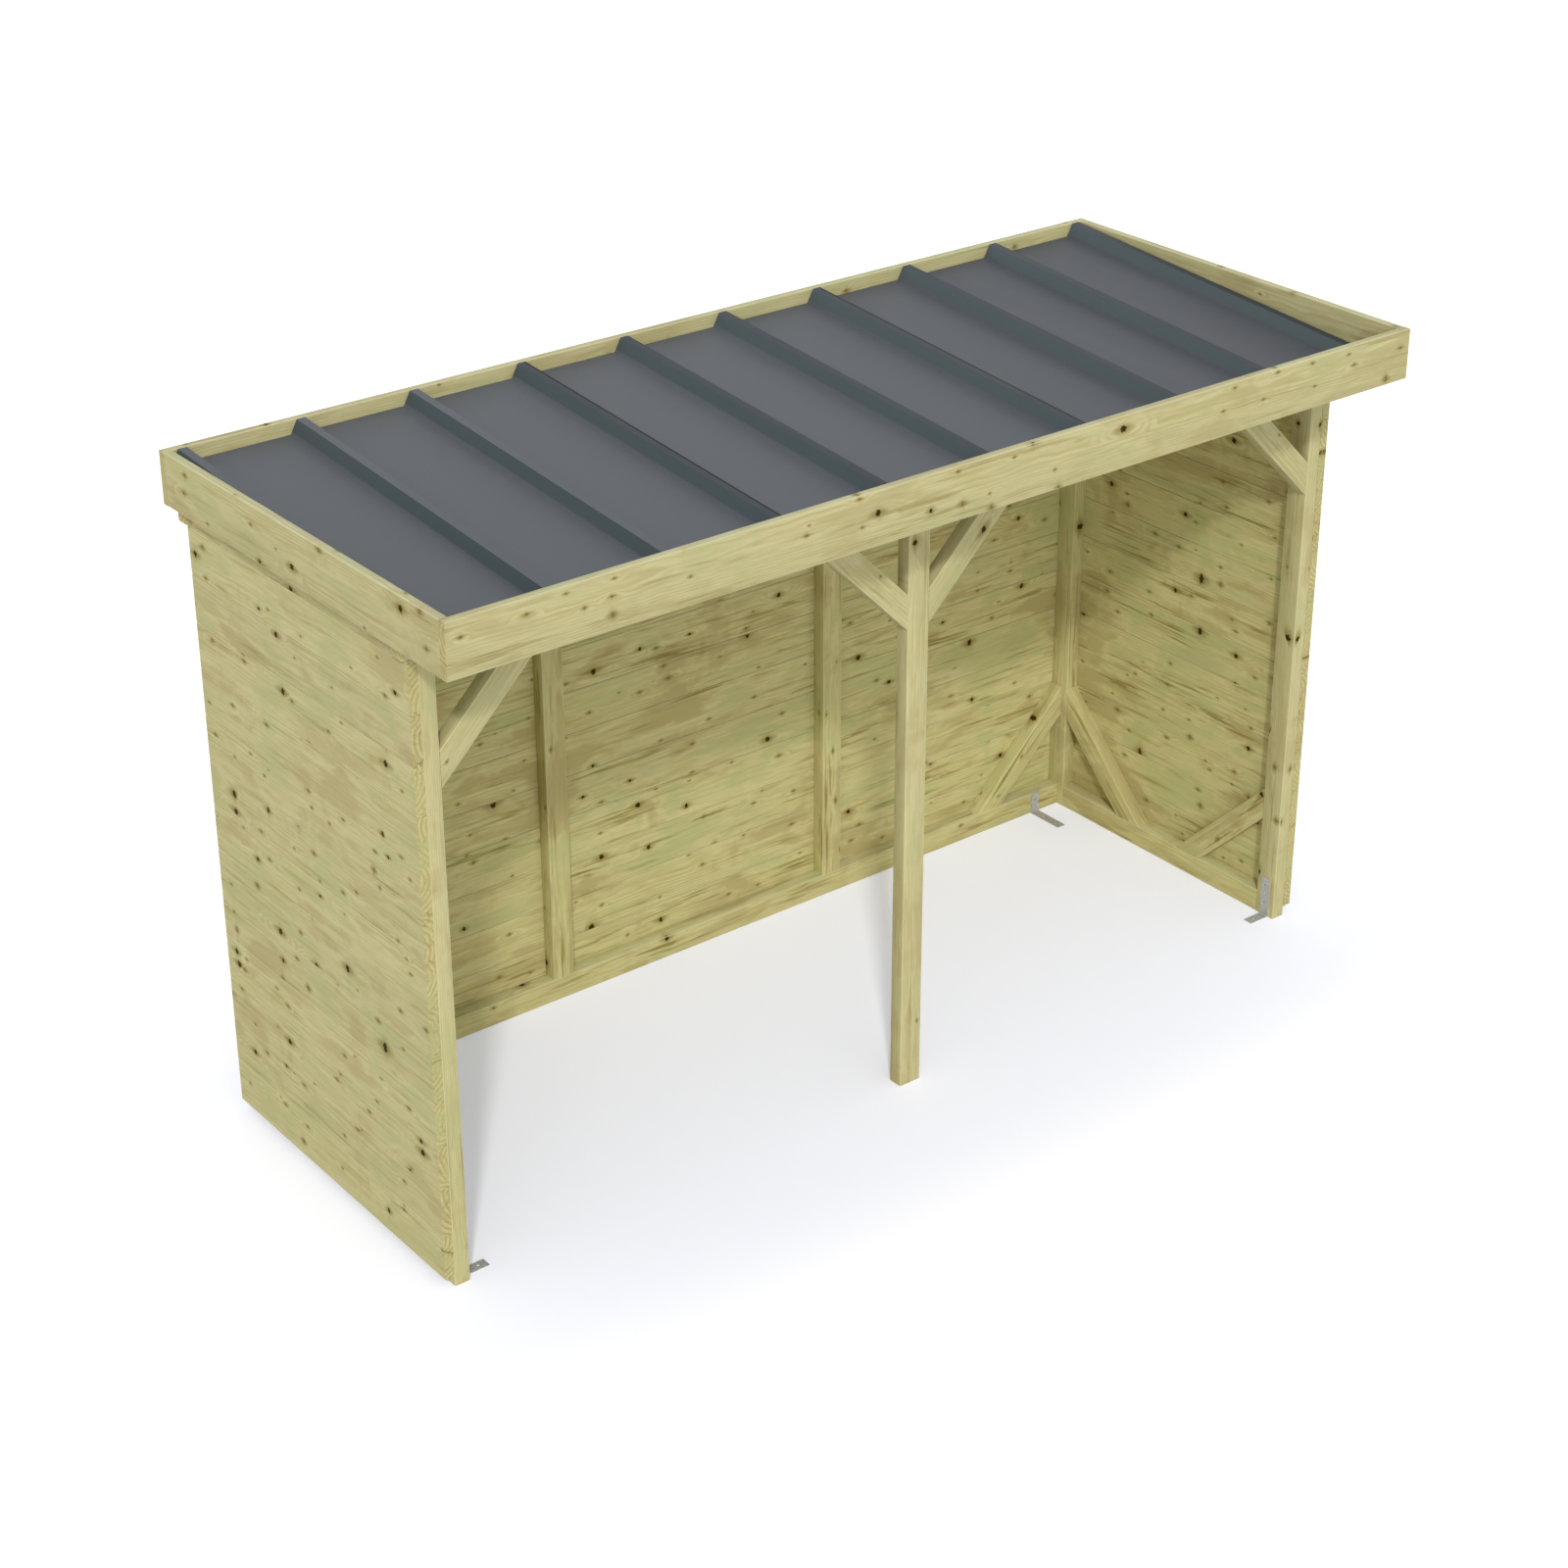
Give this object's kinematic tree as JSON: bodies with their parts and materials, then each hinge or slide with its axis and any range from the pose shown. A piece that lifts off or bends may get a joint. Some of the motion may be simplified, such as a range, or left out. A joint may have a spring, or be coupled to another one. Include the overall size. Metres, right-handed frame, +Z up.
{
  "type": "open-fronted log store",
  "caption": "Low timber log store with boarded back and sides, an open front with a middle post and knee braces, and a shallow ribbed steel roof inside a fascia frame.",
  "frame": {"origin": "on the ground, under the middle of the roof", "axes": "+X along the long side, to the right when facing the open front; -Y out of the open front; +Z up"},
  "size_m": [3.1, 1.307, 1.9254],
  "materials": {
    "pine_timber": "planed, pressure-treated, bare",
    "pine_boarding": "planed boards, pressure-treated, bare",
    "roof_steel": "matt anthracite coating",
    "zinc_steel": "galvanised, dull"
  },
  "bodies": {
    "root": {"left_wall_boards": "pine_boarding", "right_wall_boards": "pine_boarding", "back_wall_boards": "pine_boarding", "left_front_post": "pine_timber", "left_rear_post": "pine_timber", "left_bottom_rail": "pine_timber", "left_top_rail": "pine_timber", "left_front_brace": "pine_timber", "left_rear_brace": "pine_timber", "right_front_post": "pine_timber", "right_rear_post": "pine_timber", "right_bottom_rail": "pine_timber", "right_top_rail": "pine_timber", "right_front_brace": "pine_timber", "right_rear_brace": "pine_timber", "back_bottom_rail": "pine_timber", "back_top_rail": "pine_timber", "back_left_stud": "pine_timber", "back_right_stud": "pine_timber", "back_left_brace": "pine_timber", "back_right_brace": "pine_timber", "middle_post": "pine_timber", "left_knee_brace": "pine_timber", "middle_left_knee_brace": "pine_timber", "middle_right_knee_brace": "pine_timber", "right_knee_brace": "pine_timber", "front_beam": "pine_timber", "rear_beam": "pine_timber", "front_fascia": "pine_timber", "rear_fascia": "pine_timber", "left_fascia": "pine_timber", "right_fascia": "pine_timber", "left_roof_sheet": "roof_steel", "middle_roof_sheet": "roof_steel", "right_roof_sheet": "roof_steel", "front_left_bracket": "zinc_steel", "front_right_bracket": "zinc_steel", "rear_left_bracket": "zinc_steel", "rear_right_bracket": "zinc_steel"}
  },
  "joints": []
}
